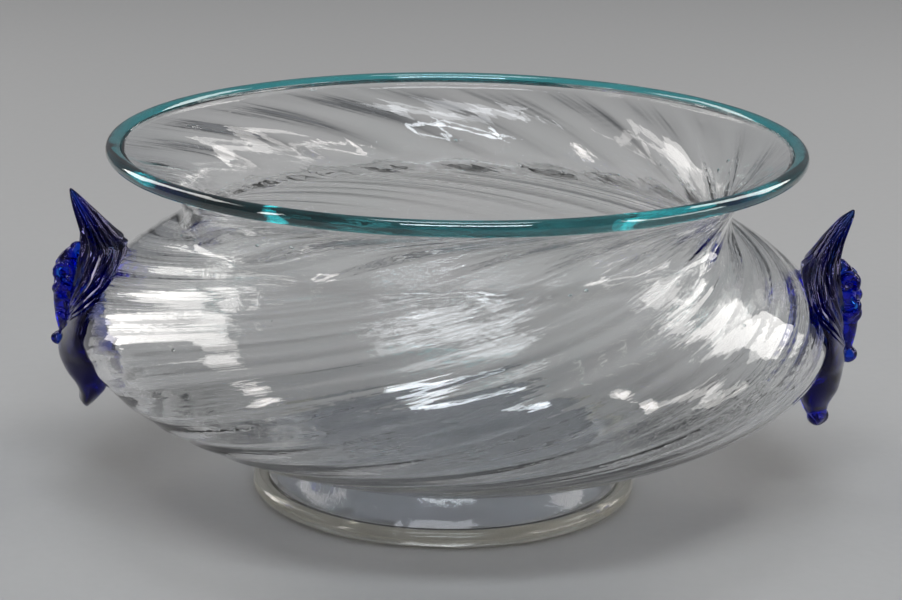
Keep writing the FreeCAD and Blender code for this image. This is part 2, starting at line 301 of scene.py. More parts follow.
def group_with(
    name: str, inputs: dict[str, float | Colour], outputs: tuple[str, ...]
) -> tuple[Tree, dict[str, Socket], bpy.types.Node]:
    """A new shader node group with its sockets.

    Args:
        name: The group's name.
        inputs: Default of each input; a number makes a value, a tuple of four a colour.
        outputs: Name of each output, a colour if it is Colour and a value if not.

    Returns:
        The group, the sockets that bring its inputs in, and the node that takes its outputs.
    """
    tree = bpy.data.node_groups.new(name, "ShaderNodeTree")
    for label, default in inputs.items():
        kind = "NodeSocketColor" if isinstance(default, tuple) else "NodeSocketFloat"
        tree.interface.new_socket(name=label, in_out="INPUT", socket_type=kind).default_value = default
    for label in outputs:
        kind = "NodeSocketColor" if label == "Colour" else "NodeSocketFloat"
        tree.interface.new_socket(name=label, in_out="OUTPUT", socket_type=kind)
    source, sink = tree.nodes.new("NodeGroupInput"), tree.nodes.new("NodeGroupOutput")
    return tree, {label: source.outputs[label] for label in inputs}, sink


@dataclass
class SharedEffects:
    """The effects that several glasses share, each built once."""

    grain_share: float = 0.015
    smear_scale: float = 90.0
    smear_start: float = 0.42
    smear_gain: float = 4.0
    break_start: float = 0.52
    narrow_ratio: float = 2.3
    narrow_share: float = 0.35
    drift_low: float = 0.35
    drift_high: float = 0.65

    def __post_init__(self) -> None:
        """Builds the groups."""
        self.fire_polish = self._fire_polish()
        self.tool_chill = self._tool_chill()
        self.colour_drift = self._colour_drift()
        self.swirl_cord = self._swirl_cord()

    def _fire_polish(self) -> Tree:
        """Slow waves of a fire-polished skin, and a polish that varies over it.

        Returns:
            The group.
        """
        inputs = {"Wave Scale": 60.0, "Grain Scale": 600.0, "Polish": 0.0, "Bloom": 0.02}
        tree, given, sink = group_with("fire_polish", inputs, ("Roughness", "Height"))
        place = object_place(tree)
        slow = noise_node(tree, place, given["Wave Scale"], 0.0)
        quick = noise_node(tree, place, given["Grain Scale"], 0.0)
        smear = noise_node(tree, object_place(tree, (1.0, 1.0, 0.35)), self.smear_scale, 2.0)
        above = math_node(tree, "MAXIMUM", math_node(tree, "SUBTRACT", smear, self.smear_start), 0.0)
        mask = math_node(tree, "MINIMUM", math_node(tree, "MULTIPLY", above, self.smear_gain), 1.0)
        spread = math_node(tree, "SUBTRACT", given["Bloom"], given["Polish"])
        rough = math_node(tree, "MULTIPLY_ADD", mask, spread, given["Polish"])
        feed(sink, {"Roughness": rough, "Height": math_node(tree, "MULTIPLY_ADD", quick, self.grain_share, slow)})
        return tree

    def _tool_chill(self) -> Tree:
        """Fine marks left where a cool tool pressed the hot glass.

        Returns:
            The group.
        """
        inputs = {"Line Scale": 900.0, "Break Scale": 180.0, "Depth": 0.5}
        tree, given, sink = group_with("tool_chill", inputs, ("Height",))
        lines = noise_node(tree, object_place(tree, (1.0, 1.0, 0.12)), given["Line Scale"], 3.0)
        breaks = noise_node(tree, object_place(tree), given["Break Scale"], 2.0)
        gate = math_node(tree, "GREATER_THAN", breaks, self.break_start)
        soft = math_node(tree, "MULTIPLY", math_node(tree, "MULTIPLY", lines, breaks), gate)
        feed(sink, {"Height": math_node(tree, "MULTIPLY", soft, given["Depth"])})
        return tree

    def _swirl_cord(self) -> Tree:
        """Fine drawn-out cords that run along the swirl of the blown wall.

        Returns:
            The group.
        """
        tree, given, sink = group_with("swirl_cord", {"Cord Scale": 22.0, "Depth": 0.2}, ("Height",))
        place = marked(tree, SWIRL_MARK)
        broad = noise_node(tree, place, given["Cord Scale"], 0.0)
        narrow = noise_node(tree, place, math_node(tree, "MULTIPLY", given["Cord Scale"], self.narrow_ratio), 0.0)
        both = math_node(tree, "MULTIPLY_ADD", narrow, self.narrow_share, broad)
        feed(sink, {"Height": math_node(tree, "MULTIPLY", both, given["Depth"])})
        return tree

    def _colour_drift(self) -> Tree:
        """A slow drift between a light and a deep tone, drawn out along the height.

        Returns:
            The group.
        """
        inputs = {"Light": WHITE, "Deep": (0.9, 0.9, 0.9, 1.0), "Scale": 80.0}
        tree, given, sink = group_with("colour_drift", inputs, ("Colour",))
        drift = noise_node(tree, object_place(tree, (1.0, 1.0, 0.3)), given["Scale"], 2.0)
        limits = {"Value": drift, "From Min": self.drift_low, "From Max": self.drift_high}
        share = add_node(tree, "MapRange", limits).outputs["Result"]
        blend = add_node(tree, "Mix", {}, data_type="RGBA")
        feed(blend, {"Factor": share, "A": given["Light"], "B": given["Deep"]})
        feed(sink, {"Colour": blend.outputs["Result"]})
        return tree


@dataclass(frozen=True)
class GlassFinish:
    """How one glass looks: its tint at the surface, its colour in the thickness and its skin.

    The surface drifts between light and deep, and density is how strongly the thickness takes on through. Polish
    and bloom are the skin's lowest and highest roughness. Wave, chill and cord are reliefs of the skin, and shine
    is a brighter coat on it. Where asked, painted light and shade from the mesh's own bands is multiplied into the
    surface colour.
    """

    name: str
    light: Colour = WHITE
    deep: Colour = WHITE
    through: Colour = WHITE
    density: float = 0.0
    polish: float = 0.0
    bloom: float = 0.02
    wave_scale: float = 60.0
    wave_depth: float = 0.0002
    wave_strength: float = 0.6
    chill: float = 0.0
    cord: float = 0.0
    drift_scale: float = 80.0
    gloss_tint: Colour = WHITE
    clearness: float = 1.0
    ior: float = 1.5
    painted_light_banded: bool = False
    shine: float = 0.0
    shine_ior: float = 2.0

    def material(self, effects: SharedEffects) -> bpy.types.Material:
        """Builds the node material.

        Args:
            effects: The shared shader groups.

        Returns:
            The finished material.
        """
        made = bpy.data.materials.new(self.name)
        made.use_nodes = True
        tree = made.node_tree
        tree.nodes.clear()
        waves = {"Wave Scale": self.wave_scale, "Polish": self.polish, "Bloom": self.bloom}
        polish = self._placed(tree, effects.fire_polish, waves)
        tones = {"Light": self.light, "Deep": self.deep, "Scale": self.drift_scale}
        colour = self._placed(tree, effects.colour_drift, tones)["Colour"]
        height = polish["Height"]
        for group, depth in ((effects.tool_chill, self.chill), (effects.swirl_cord, self.cord)):
            if depth > 0:
                height = math_node(tree, "ADD", height, self._placed(tree, group, {"Depth": depth})["Height"])
        relief = {"Strength": self.wave_strength, "Distance": self.wave_depth, "Height": height}
        # Multiplies the painted light and shade bands kept on the mesh into the colour.
        if self.painted_light_banded:
            both = {0: colour, 1: marked(tree, PAINTED_BANDS_MARK)}
            colour = add_node(tree, "VectorMath", both, operation="MULTIPLY").outputs["Vector"]
        skin = {
            "Base Color": colour,
            "Metallic": 0.0,
            "Transmission Weight": self.clearness,
            "IOR": self.ior,
            "Specular Tint": self.gloss_tint,
            "Coat Weight": self.shine,
            "Coat IOR": self.shine_ior,
            "Roughness": polish["Roughness"],
            "Normal": add_node(tree, "Bump", relief).outputs["Normal"],
        }
        out = add_node(tree, "OutputMaterial", {"Surface": add_node(tree, "BsdfPrincipled", skin).outputs["BSDF"]})
        if self.density > 0:
            body = add_node(tree, "VolumeAbsorption", {"Color": self.through, "Density": self.density})
            feed(out, {"Volume": body.outputs["Volume"]})
        return made

    @staticmethod
    def _placed(tree: Tree, group: Tree, values: dict[str, float | Colour]) -> bpy.types.NodeOutputs:
        """Puts a shared group into a material's tree.

        Args:
            tree: The material's tree.
            group: The shared group.
            values: What each of its inputs gets.

        Returns:
            What comes out of it.
        """
        node = add_node(tree, "Group", {}, node_tree=group)
        feed(node, values)
        return node.outputs


class Glass(Enum):
    """The glasses that the bowl is made of."""

    CLEAR = GlassFinish(
        name="clear_blown_glass",
        deep=(0.972, 0.984, 0.982, 1.0),
        wave_scale=70.0,
        wave_depth=0.00025,
        bloom=0.015,
        cord=0.30,
        drift_scale=45.0,
    )
    FOOT = GlassFinish(
        name="straw_grey_foot_glass",
        light=(1.0, 0.99, 0.97, 1.0),
        deep=(0.95, 0.935, 0.90, 1.0),
        through=(0.92, 0.90, 0.84, 1.0),
        density=8.0,
        wave_scale=110.0,
        polish=0.04,
        bloom=0.12,
        chill=0.3,
        clearness=0.80,
        # The foot's painted light and shade bands come from its mesh.
        painted_light_banded=True,
    )
    TEAL = GlassFinish(
        name="teal_thread_glass",
        light=(0.58, 0.95, 0.95, 1.0),
        deep=(0.36, 0.84, 0.86, 1.0),
        through=(0.0, 0.74, 0.78, 1.0),
        density=620.0,
        shine=0.45,
        wave_scale=150.0,
        drift_scale=60.0,
    )
    COBALT = GlassFinish(
        name="cobalt_handle_glass",
        light=(0.52, 0.68, 1.0, 1.0),
        deep=(0.24, 0.36, 0.92, 1.0),
        through=(0.0, 0.60, 0.936, 1.0),
        density=2400.0,
        # Painted reflection colour: the gloss tint dims every reflection and turns it pinkish-purple, standing in for
        # warm lamp highlights.
        gloss_tint=(0.56, 0.50, 0.86, 1.0),
        wave_scale=140.0,
        wave_depth=0.00006,
        drift_scale=160.0,
    )
    SEED = GlassFinish(name="seed_skin", deep=(0.97, 0.98, 0.98, 1.0), wave_depth=0.00001)


@cache
def shared_effects() -> SharedEffects:
    """The shared effects, built when they are first asked for."""
    return SharedEffects()


@cache
def material_of(glass: Glass) -> bpy.types.Material:
    """The material of a glass, built when it is first asked for."""
    return glass.value.material(shared_effects())


def dress(piece: Thing, glass: Glass) -> None:
    """Gives a piece its glass."""
    piece.data.materials.clear()
    piece.data.materials.append(material_of(glass))


# The blown wall


@dataclass(frozen=True)
class WallSizes:
    """Sizes of the blown body, in metres and degrees, its places as (radius, height)."""

    rim: Pair = (0.0625, 0.0653)
    thread_diameter: float = 0.0028
    lip_wall: float = 0.0020
    lip_slope: float = 28.0
    neck: Pair = (0.0493, 0.0514)
    shoulder: Pair = (0.0507, 0.0493)
    shoulder_slope: float = 30.0
    belly: Pair = (0.0680, 0.0318)
    belly_wall: float = 0.0022
    base: Pair = (0.0265, 0.0072)
    base_slope: float = 15.0
    floor_thickness: float = 0.0038
    weld: float = 0.00006
    outer_pulls: Pair = (0.34, 0.235)
    inner_pulls: Pair = (0.55, 0.165)
    shoulder_pulls: Pair = (0.30, 0.30)
    lip_pulls: Pair = (0.40, 0.40)


class BlownWall:
    """Section lines of the body's outer face, from the base's edge, and inner face, from the middle of the floor."""

    def __init__(self, sizes: WallSizes) -> None:
        """Works the lines out from the sizes.

        Args:
            sizes: The body's sizes.
        """
        self.sizes = s = sizes
        self.thread_centre = tuple(side - s.thread_diameter / 2 for side in s.rim)
        edges = self._lip_edges()
        self.outer = self._line((s.base, s.belly, s.shoulder, s.neck, edges[0]), s.base_slope, s.outer_pulls)
        floor = (0.0, s.base[1] + s.floor_thickness)
        belly, neck = ((radius - s.belly_wall, height) for radius, height in (s.belly, s.neck))
        shoulder = ahead(s.shoulder, 270 - s.shoulder_slope, s.belly_wall)
        self.inner = self._line((floor, belly, shoulder, neck, edges[1]), 0, s.inner_pulls)

    def _lip_edges(self) -> tuple[Pair, Pair]:
        """Where the lip runs into the thread.

        Returns:
            Its outer and its inner edge.
        """
        s = self.sizes
        half, wall = s.thread_diameter / 2, s.lip_wall / 2
        middle = ahead(self.thread_centre, s.lip_slope, s.weld - math.sqrt(half**2 - wall**2))
        return ahead(middle, s.lip_slope - 90, wall), ahead(middle, s.lip_slope + 90, wall)

    def _line(self, places: tuple[Pair, ...], slope: float, pulls: Pair) -> Array:
        """One face's line, in four stretches.

        Args:
            places: Its start, belly, shoulder, neck and lip.
            slope: Its slope at the start, in degrees.
            pulls: How far the slopes hold at the two ends of the first stretch.

        Returns:
            The line's points, one per row.
        """
        s = self.sizes
        start, belly, shoulder, neck, lip = places
        climb = 180 - s.shoulder_slope
        stretches = [
            swept(start, slope, belly, 90, *pulls),
            swept(belly, 90, shoulder, climb, *s.shoulder_pulls),
            swept(shoulder, climb, neck, 90),
            swept(neck, 90, lip, s.lip_slope, *s.lip_pulls),
        ]
        return np.vstack([stretches[0], *(stretch[1:] for stretch in stretches[1:])])

    def lip_end(self, count: int) -> Array:
        """The lip's hidden end inside the thread, from the outer edge round to the inner one.

        Args:
            count: Number of points.

        Returns:
            The points, one per row.
        """
        radius = self.sizes.thread_diameter / 2 - self.sizes.weld
        first, last = (slope_to(self.thread_centre, edge) % 360 for edge in self._lip_edges())
        return turned_arc(self.thread_centre, radius, first, last, count)

    def reach_at(self, height: Array | float) -> Array | float:
        """How far out the outer face lies at a height below the neck."""
        climbing = self.outer[: 2 * STRETCH_POINTS - 1]
        return np.interp(height, climbing[:, 1], climbing[:, 0])


@dataclass
class SwirledBody:
    """The clear body, blown out of a ribbed mould and swirled as it was drawn."""

    wall: BlownWall
    rib_count: int = 20
    outer_relief: float = 0.00030
    inner_relief: float = 0.00042
    belly_swirl: float = 2900.0
    lip_swirl: float = 1500.0
    rib_fade: float = 0.009
    columns: int = 360
    pitch: float = 0.00092
    uneven: float = 0.00007
    drift_share: float = 0.6
    drift_rise: float = 90.0
    overtones: tuple[tuple[int, float, int, float], ...] = ((2, 0.34, 3, 0.9), (3, 0.16, -4, 2.0))
    over_crest: float = 0.9
    drawn_out: float = 1.5
    strengths: tuple[Triple, ...] = ((0.28, 3, 1.3), (0.2, 7, 0.4))
    leans: tuple[Triple, ...] = ((0.5, 2, 0.6), (0.35, 5, 2.2))
    phase_steps: int = 600
    inner_start: float = 0.02
    lip_points: int = 7

    def _swirl(self, along: Array, neck: float, end: float) -> tuple[Array, Array]:
        """How the ribs run along the wall.

        Args:
            along: Length of wall from the base's edge.
            neck: The same at the neck.
            end: The same at the lip's edge.

        Returns:
            How far they have turned at each length, in radians, and how much of their relief is left.
        """
        lip = end - neck
        grid = np.linspace(0.0, end, self.phase_steps)
        rate = np.radians(self.belly_swirl + (self.lip_swirl - self.belly_swirl) * eased((grid - neck) / lip))
        turned = np.concatenate([[0.0], np.cumsum((rate[1:] + rate[:-1]) / 2 * np.diff(grid))])
        before = np.minimum(along, 0.0) * math.radians(self.belly_swirl)
        start = 1 - self.rib_fade / lip
        return np.interp(along, grid, turned) + before, 1 - eased(((along - neck) / lip - start) / (1 - start))

    def _rings(self, line: Array, relief: Array, phase: Array) -> Array:
        """Rings around the section line with the ribs' crests on them.

        Args:
            line: (radius, height) of each ring.
            relief: Peak-to-valley relief of each ring.
            phase: How far the crests of each ring have turned.

        Returns:
            Points shaped (rows, columns, 3).
        """
        turn = round_turn(self.columns)
        carried = turn - phase[:, None]
        lean = rippled(carried, self.leans)
        waves = (1 + rippled(carried, self.strengths)) * np.cos(self.rib_count * carried + lean)
        for times, share, follow, lead in self.overtones:
            waves = waves + share * np.cos(times * self.rib_count * carried + follow * lean + lead)
        ribs = relief[:, None] / 2 * (waves - self.over_crest)
        share = np.clip(line[:, :1] / self.wall.sizes.belly[0], 0, 1)
        fullness = np.sin(share * math.pi / 2) ** 4
        drift = np.sin(2 * turn + 0.7) + self.drift_share * np.sin(5 * turn - 2.1 + line[:, 1:2] * self.drift_rise)
        reach = line[:, :1] + ribs - self.uneven * fullness * (1 + drift / (1 + self.drift_share))
        return rings_at(reach, turn, line[:, 1:2])

    def make(self) -> Thing:
        """Builds and dresses the body.

        Returns:
            The body.
        """
        wall, s = self.wall, self.wall.sizes
        outer, inner = evenly(wall.outer, self.pitch), evenly(wall.inner, self.pitch)
        outer_along, inner_along = lengths_along(outer), lengths_along(inner)
        end = outer_along[-1]
        neck = lengths_along(wall.outer)[3 * (STRETCH_POINTS - 1)]
        inner_match = inner_along - inner_along[-1] + end
        outer_phase, outer_fade = self._swirl(outer_along, neck, end)
        inner_phase, inner_fade = self._swirl(inner_match, neck, end)
        inner_relief = -self.inner_relief * inner_fade * eased(inner[:, 0] / self.inner_start)
        lowered = ahead(s.base, s.base_slope, -s.weld / math.sin(math.radians(s.base_slope)))
        under = np.array([[lowered[0] / 3, lowered[1]], [lowered[0] * 0.8, lowered[1]], lowered])
        cap = wall.lip_end(self.lip_points)[1:-1]
        none_under, none_cap = np.zeros(len(under)), np.zeros(len(cap))
        line = np.vstack([under, outer, cap, inner[:0:-1]])
        relief = np.concatenate([none_under, self.outer_relief * outer_fade, none_cap, inner_relief[:0:-1]])
        phase = np.concatenate([none_under, outer_phase, none_cap + outer_phase[-1], inner_phase[:0:-1]])
        along = np.concatenate([none_under, outer_along, none_cap + end, inner_match[:0:-1] + 3 * end])
        bottom, floor = np.array([0.0, 0.0, lowered[1]]), np.array([0.0, 0.0, inner[0, 1]])
        body = shaded_mesh("blown_body", *closed_skin(self._rings(line, relief, phase), bottom, floor))
        place = rings_at(1.0, round_turn(self.columns) - phase[:, None], along[:, None] * self.drawn_out)
        mark_corners(body, SWIRL_MARK, np.vstack([place.reshape(-1, 3), [[0.0, 0.0, 0.0], [0.0, 0.0, 1.0]]]))
        dress(body, Glass.CLEAR)
        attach(body, "root")
        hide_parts("bowl_body")
        return body


@dataclass
class WallSeeds:
    """Tiny bubbles left in the thickness of the wall."""

    wall: BlownWall
    count: int = 46
    smallest: float = 0.00010
    largest: float = 0.00030
    rows: int = 7
    columns: int = 10
    first_point: int = 60
    last_point: int = 420
    depths: Pair = (0.35, 0.65)
    stretches: Pair = (1.0, 2.2)
    leans: Pair = (0.1, 0.7)
    draw: int = 7

    def _bubble(self, centre: Array, radius: float, stretch: float, lean: float) -> Array:
        """Rings of one bubble, drawn out along the lean.

        Args:
            centre: Its middle.
            radius: Its radius across.
            stretch: Its length over its width.
            lean: How far its long axis leans from level, in radians.

        Returns:
            Points shaped (rows, columns, 3).
        """
        rise, turn = ball_angles(self.rows, self.columns)
        around = math.atan2(centre[1], centre[0])
        along = np.array([-math.sin(around) * math.cos(lean), math.cos(around) * math.cos(lean), math.sin(lean)])
        out = np.array([math.cos(around), math.sin(around), 0.0])
        across = np.cross(out, along)
        outward = (np.cos(rise) * np.cos(turn))[..., None]
        sideways = (np.cos(rise) * np.sin(turn))[..., None]
        onward = np.sin(rise)[..., None]
        return centre + radius * outward * out + radius * sideways * across + radius * stretch * onward * along

    def make(self) -> Thing:
        """Builds and dresses the seeds.

        Returns:
            One object that holds every seed.
        """
        chance = np.random.default_rng(self.draw)
        inner = self.wall.inner
        bubbles = []
        for _ in range(self.count):
            reach, height = self.wall.outer[chance.integers(self.first_point, self.last_point)]
            nearest = inner[np.argmin(np.hypot(inner[:, 0] - reach, inner[:, 1] - height))]
            depth = chance.uniform(*self.depths)
            turn = chance.uniform(0, FULL_TURN)
            radius = chance.uniform(self.smallest, self.largest)
            at = (1 - depth) * np.array([reach, height]) + depth * nearest
            centre = np.array([at[0] * math.cos(turn), at[0] * math.sin(turn), at[1]])
            stretch, lean = chance.uniform(*self.stretches), chance.uniform(*self.leans)
            bubbles.append(self._bubble(centre, radius, stretch, lean))
        seeds = shaded_mesh("wall_seeds", *merged_skins(bubbles))
        dress(seeds, Glass.SEED)
        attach(seeds, "root")
        return seeds


@dataclass
class RimThread:
    """The teal thread laid hot along the lip's edge."""

    wall: BlownWall
    columns: int = 420
    sides: int = 30
    thinning: float = 0.00005
    dip: float = 0.00006
    swells: tuple[Triple, ...] = ((0.25, 3, 0.4), (0.15, 11, 2.0), (0.1, 23, 0.0))
    dips: tuple[Triple, ...] = ((0.3, 2, 1.1), (0.2, 7, -0.8))

    def make(self) -> Thing:
        """Builds and dresses the thread.

        Returns:
            The thread.
        """
        turn, side = round_turn(self.columns), round_turn(self.sides).T
        radius = self.wall.sizes.thread_diameter / 2 - self.thinning * (0.5 + rippled(turn, self.swells))
        settle = self.dip * (0.5 + rippled(turn, self.dips))
        reach = self.wall.thread_centre[0] + radius * np.cos(side) - settle * 0.5
        height = self.wall.thread_centre[1] + radius * np.sin(side) - settle * 0.5
        total = self.sides * self.columns
        faces = [tuple(corner % total for corner in face) for face in ring_faces(self.sides + 1, self.columns)]
        thread = shaded_mesh("rim_thread", rings_at(reach, turn, height), faces)
        dress(thread, Glass.TEAL)
        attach(thread, "root")
        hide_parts("rim_band")
        return thread


@dataclass
class AppliedFoot:
    """The foot, a pad of straw-grey glass spun out and turned over at its edge."""

    radius: float = 0.0352
    height: float = 0.0072
    offset: float = -0.0016
    ring_diameter: float = 0.0031
    crease_angle: float = 130.0
    fold_angle: float = 152.0
    fold_open: float = 0.0005
    neck_radius: float = 0.0278
    sweep_radius: float = 0.011
    standing_width: float = 0.0014
    hollow_step: float = 0.0018
    hollow_height: float = 0.0030
    pontil_radius: float = 0.008
    pontil_depth: float = 0.0006
    weld: float = 0.00006
    seat_step: float = 0.0004
    seat_middle: float = 0.002
    sharp_angle: float = 32.0
    columns: int = 288
    wander: float = 0.00008
    wanders: tuple[Triple, ...] = ((0.6, 3, 0.5), (0.4, 8, 2.2))
    edge_start: float = 0.030
    edge_width: float = 0.004
    nick_start: float = 0.0008
    nick_rise: float = 0.0015
    chatter: float = 0.00002
    chatter_count: int = 70
    chatter_rise: float = 9000.0
    chatter_bouts: int = 5
    chatter_rest: float = 0.1
    # Painted light and shade multiplied into the foot glass: the turned-over ring painted brighter and warmer, the fold
    # painted a near-black shade, and the sweep, seat and hollow underside painted a darker bluish-grey shade.
    ring_painted_light: Triple = (1.0, 0.985, 0.90)
    fold_painted_shade: Triple = (0.16, 0.155, 0.15)
    upper_painted_shade: Triple = (0.84, 0.87, 0.94)
    nicks: tuple[Triple, ...] = (
        (-1.79, 0.00022, 0.020),
        (-1.27, 0.00016, 0.034),
        (-1.19, 0.00013, 0.018),
        (-0.6, 0.00015, 0.03),
    )

    def _section(self) -> tuple[Array, Array]:
        """The section line from the middle of the underside round to the top.

        Returns:
            The line, and the painted light and shade at each of its points: the ring brighter and warmer, the fold a
            near-black painted shade, the rest a darker bluish-grey painted shade.
        """
        ring = self.ring_diameter / 2
        middle = (self.radius - ring, ring)
        crease = ahead(middle, self.crease_angle, ring)
        neck = (self.neck_radius, self.height)
        chord = math.dist(neck, crease)
        fall = slope_to(neck, crease)
        half = ahead(neck, fall, chord / 2)
        centre = ahead(half, fall + 90, math.sqrt(self.sweep_radius**2 - chord**2 / 4))
        first, last = slope_to(centre, crease), slope_to(centre, neck)
        first += math.copysign(math.degrees(self.fold_open / self.sweep_radius), last - first)
        fold = [ahead(middle, self.fold_angle, ring), ahead(centre, first, self.sweep_radius)]
        inside = (middle[0] - self.standing_width, 0.0)
        edge = (inside[0] - self.hollow_step, self.hollow_step)
        curve = (self.pontil_radius**2 + self.pontil_depth**2) / (2 * self.pontil_depth)
        top = self.hollow_height + self.pontil_depth
        low = math.degrees(math.atan2(self.hollow_height - top + curve, self.pontil_radius))
        seat = (self.neck_radius - self.seat_step, self.height + self.weld)
        # Each stretch carries its band of painted light and shade.
        upper_shade, ring_light = self.upper_painted_shade, self.ring_painted_light
        stretches = [
            (turned_arc((0.0, top - curve), curve, 89.3, low, 12), 0.0009, upper_shade),
            (np.array([[self.pontil_radius, self.hollow_height], edge]), 0.0012, upper_shade),
            (np.array([edge, inside]), 0.0003, ring_light),
            (np.array([inside, (middle[0], 0.0)]), 0.0004, ring_light),
            (turned_arc(middle, ring, -90, self.fold_angle, 40), 0.00018, ring_light),
            (np.array(fold), 0.0001, self.fold_painted_shade),
            (turned_arc(centre, self.sweep_radius, first, last, 30), 0.0003, upper_shade),
            (np.array([neck, seat]), 0.0002, upper_shade),
            (np.array([seat, (self.seat_middle, seat[1])]), 0.004, upper_shade),
        ]
        parts = [evenly(line, pitch)[:-1] for line, pitch, _ in stretches] + [stretches[-1][0][-1:]]
        tones = [tone for _, _, tone in stretches] + [upper_shade]
        band_shading = [np.tile(tone, (len(part), 1)) for part, tone in zip(parts, tones)]
        return np.vstack(parts), np.vstack(band_shading)

    def make(self) -> Thing:
        """Builds and dresses the foot.

        Returns:
            The foot.
        """
        line, band_shading = self._section()
        turn = round_turn(self.columns)
        reach, height = line[:, :1], line[:, 1:]
        outer = eased((reach - self.edge_start) / self.edge_width)
        wander = self.wander * outer * (1 + rippled(turn, self.wanders))
        shrink = np.zeros_like(turn)
        for place, depth, width in self.nicks:
            away = (turn - place + math.pi) % FULL_TURN - math.pi
            shrink = shrink + depth * np.exp(-((away / width) ** 2))
        bouts = np.sin(self.chatter_bouts * turn) > self.chatter_rest
        chatter = self.chatter * outer * np.sin(self.chatter_count * turn + self.chatter_rise * height) * bouts
        above = eased((height - self.nick_start) / self.nick_rise)
        moved = reach - wander - outer * above * shrink - chatter
        rings = rings_at(moved, turn, height) + np.array([self.offset, 0.0, 0.0])
        start = np.array([self.offset, 0.0, self.hollow_height + self.pontil_depth])
        end = np.array([self.offset, 0.0, self.height + self.weld])
        foot = shaded_mesh("applied_foot", *closed_skin(rings, start, end))
        foot.data.set_sharp_from_angle(angle=math.radians(self.sharp_angle))
        ends = [self.upper_painted_shade, self.upper_painted_shade]
        # Keeps the painted light and shade bands on the corners for the foot glass to multiply in.
        mark_corners(foot, PAINTED_BANDS_MARK, np.vstack([np.repeat(band_shading, self.columns, axis=0), ends]))
        dress(foot, Glass.FOOT)
        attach(foot, "root")
        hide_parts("foot")
        return foot


# The pulled handles


class Side(Enum):
    """Which side of the bowl a handle is on."""

    LEFT = "left"
    RIGHT = "right"


@dataclass(frozen=True)
class Lump:
    """A pinched lump of glass on a handle's outer ridge."""

    height: float
    reach: float
    aside: float
    out: float
    wide: float
    tall: float
    lobes: int = 4
    twist: float = 0.0


@dataclass(frozen=True)
class Curl:
    """A loop that the pinching tool drew up on both flanks of the ridge."""

    height: float
    reach: float
    aside: float
    loop: float
    thickness: float
    first: float
    last: float
    spacing: float = 0.9

    def lumps(self) -> list[Lump]:
        """The loop as a chain of small lumps on each flank.

        Returns:
            The lumps.
        """
        run = math.radians(self.last - self.first) * self.loop
        count = max(4, round(run / (self.thickness * self.spacing)))
        chain = []
        for angle in np.radians(np.linspace(self.first, self.last, count)):
            for flank in (-1.0, 1.0):
                reach = self.reach + self.loop * math.cos(angle)
                height = self.height + self.loop * math.sin(angle)
                chain.append(Lump(height, reach, flank * self.aside, *[self.thickness] * 3))
        return chain


@dataclass(frozen=True)
class HandleLines:
    """The lines of one handle from its foot to its tip, as (height, size) pairs in tenths of a millimetre."""

    outer: tuple[tuple[int, int], ...]
    inner: tuple[tuple[int, int], ...]
    widths: tuple[tuple[int, int], ...]
    lumps: tuple[Lump, ...]
    curls: tuple[Curl, ...]
    leaf_end: float
    leaf_top: float
    azimuth: float
    twist: float


LEFT_LINES = HandleLines(
    outer=(
        (150, 676), (160, 684), (179, 683), (201, 690), (226, 706), (254, 716), (273, 717), (302, 708), (330, 698),
        (368, 692), (405, 684), (442, 679), (476, 675), (498, 681), (525, 688), (557, 695),
    ),
    inner=(
        (150, 660), (158, 655), (172, 645), (187, 632), (457, 588), (470, 605), (488, 621), (510, 640), (530, 660),
        (548, 676), (557, 687),
    ),
    widths=(
        (150, 24), (160, 36), (180, 48), (210, 64), (250, 88), (290, 114), (330, 138), (370, 151), (400, 140),
        (440, 104), (470, 74), (498, 46), (525, 28), (557, 11),
    ),
    lumps=(
        Lump(0.0358, 0.0699, 0.0000, 0.0026, 0.0019, 0.0086, 1),
        Lump(0.0448, 0.0680, 0.0003, 0.0014, 0.0011, 0.0012),
        Lump(0.0438, 0.0690, 0.0004, 0.0015, 0.0013, 0.0012),
        Lump(0.0427, 0.0696, 0.0004, 0.0018, 0.0015, 0.0016, 3, 0.4),
        Lump(0.0403, 0.0700, -0.0006, 0.0023, 0.0023, 0.0021, 5, 1.2),
        Lump(0.0373, 0.0704, 0.0007, 0.0023, 0.0023, 0.0020, 4, -0.9),
        Lump(0.0343, 0.0702, -0.0005, 0.0021, 0.0022, 0.0020, 5, 0.8),
        Lump(0.0312, 0.0699, 0.0004, 0.0019, 0.0019, 0.0019, 4, -0.6),
        Lump(0.0279, 0.0716, 0.0000, 0.0016, 0.0013, 0.0013, 3, 0.3),
    ),
    curls=(
        Curl(0.0408, 0.0702, 0.0026, 0.0015, 0.0007, -60.0, 230.0),
        Curl(0.0369, 0.0702, 0.0026, 0.0012, 0.0007, -20.0, 200.0),
        Curl(0.0336, 0.0703, 0.0024, 0.0011, 0.0007, 120.0, 330.0),
    ),
    leaf_end=0.0310,
    leaf_top=0.0465,
    azimuth=math.pi + math.radians(3.0),
    twist=0.10,
)

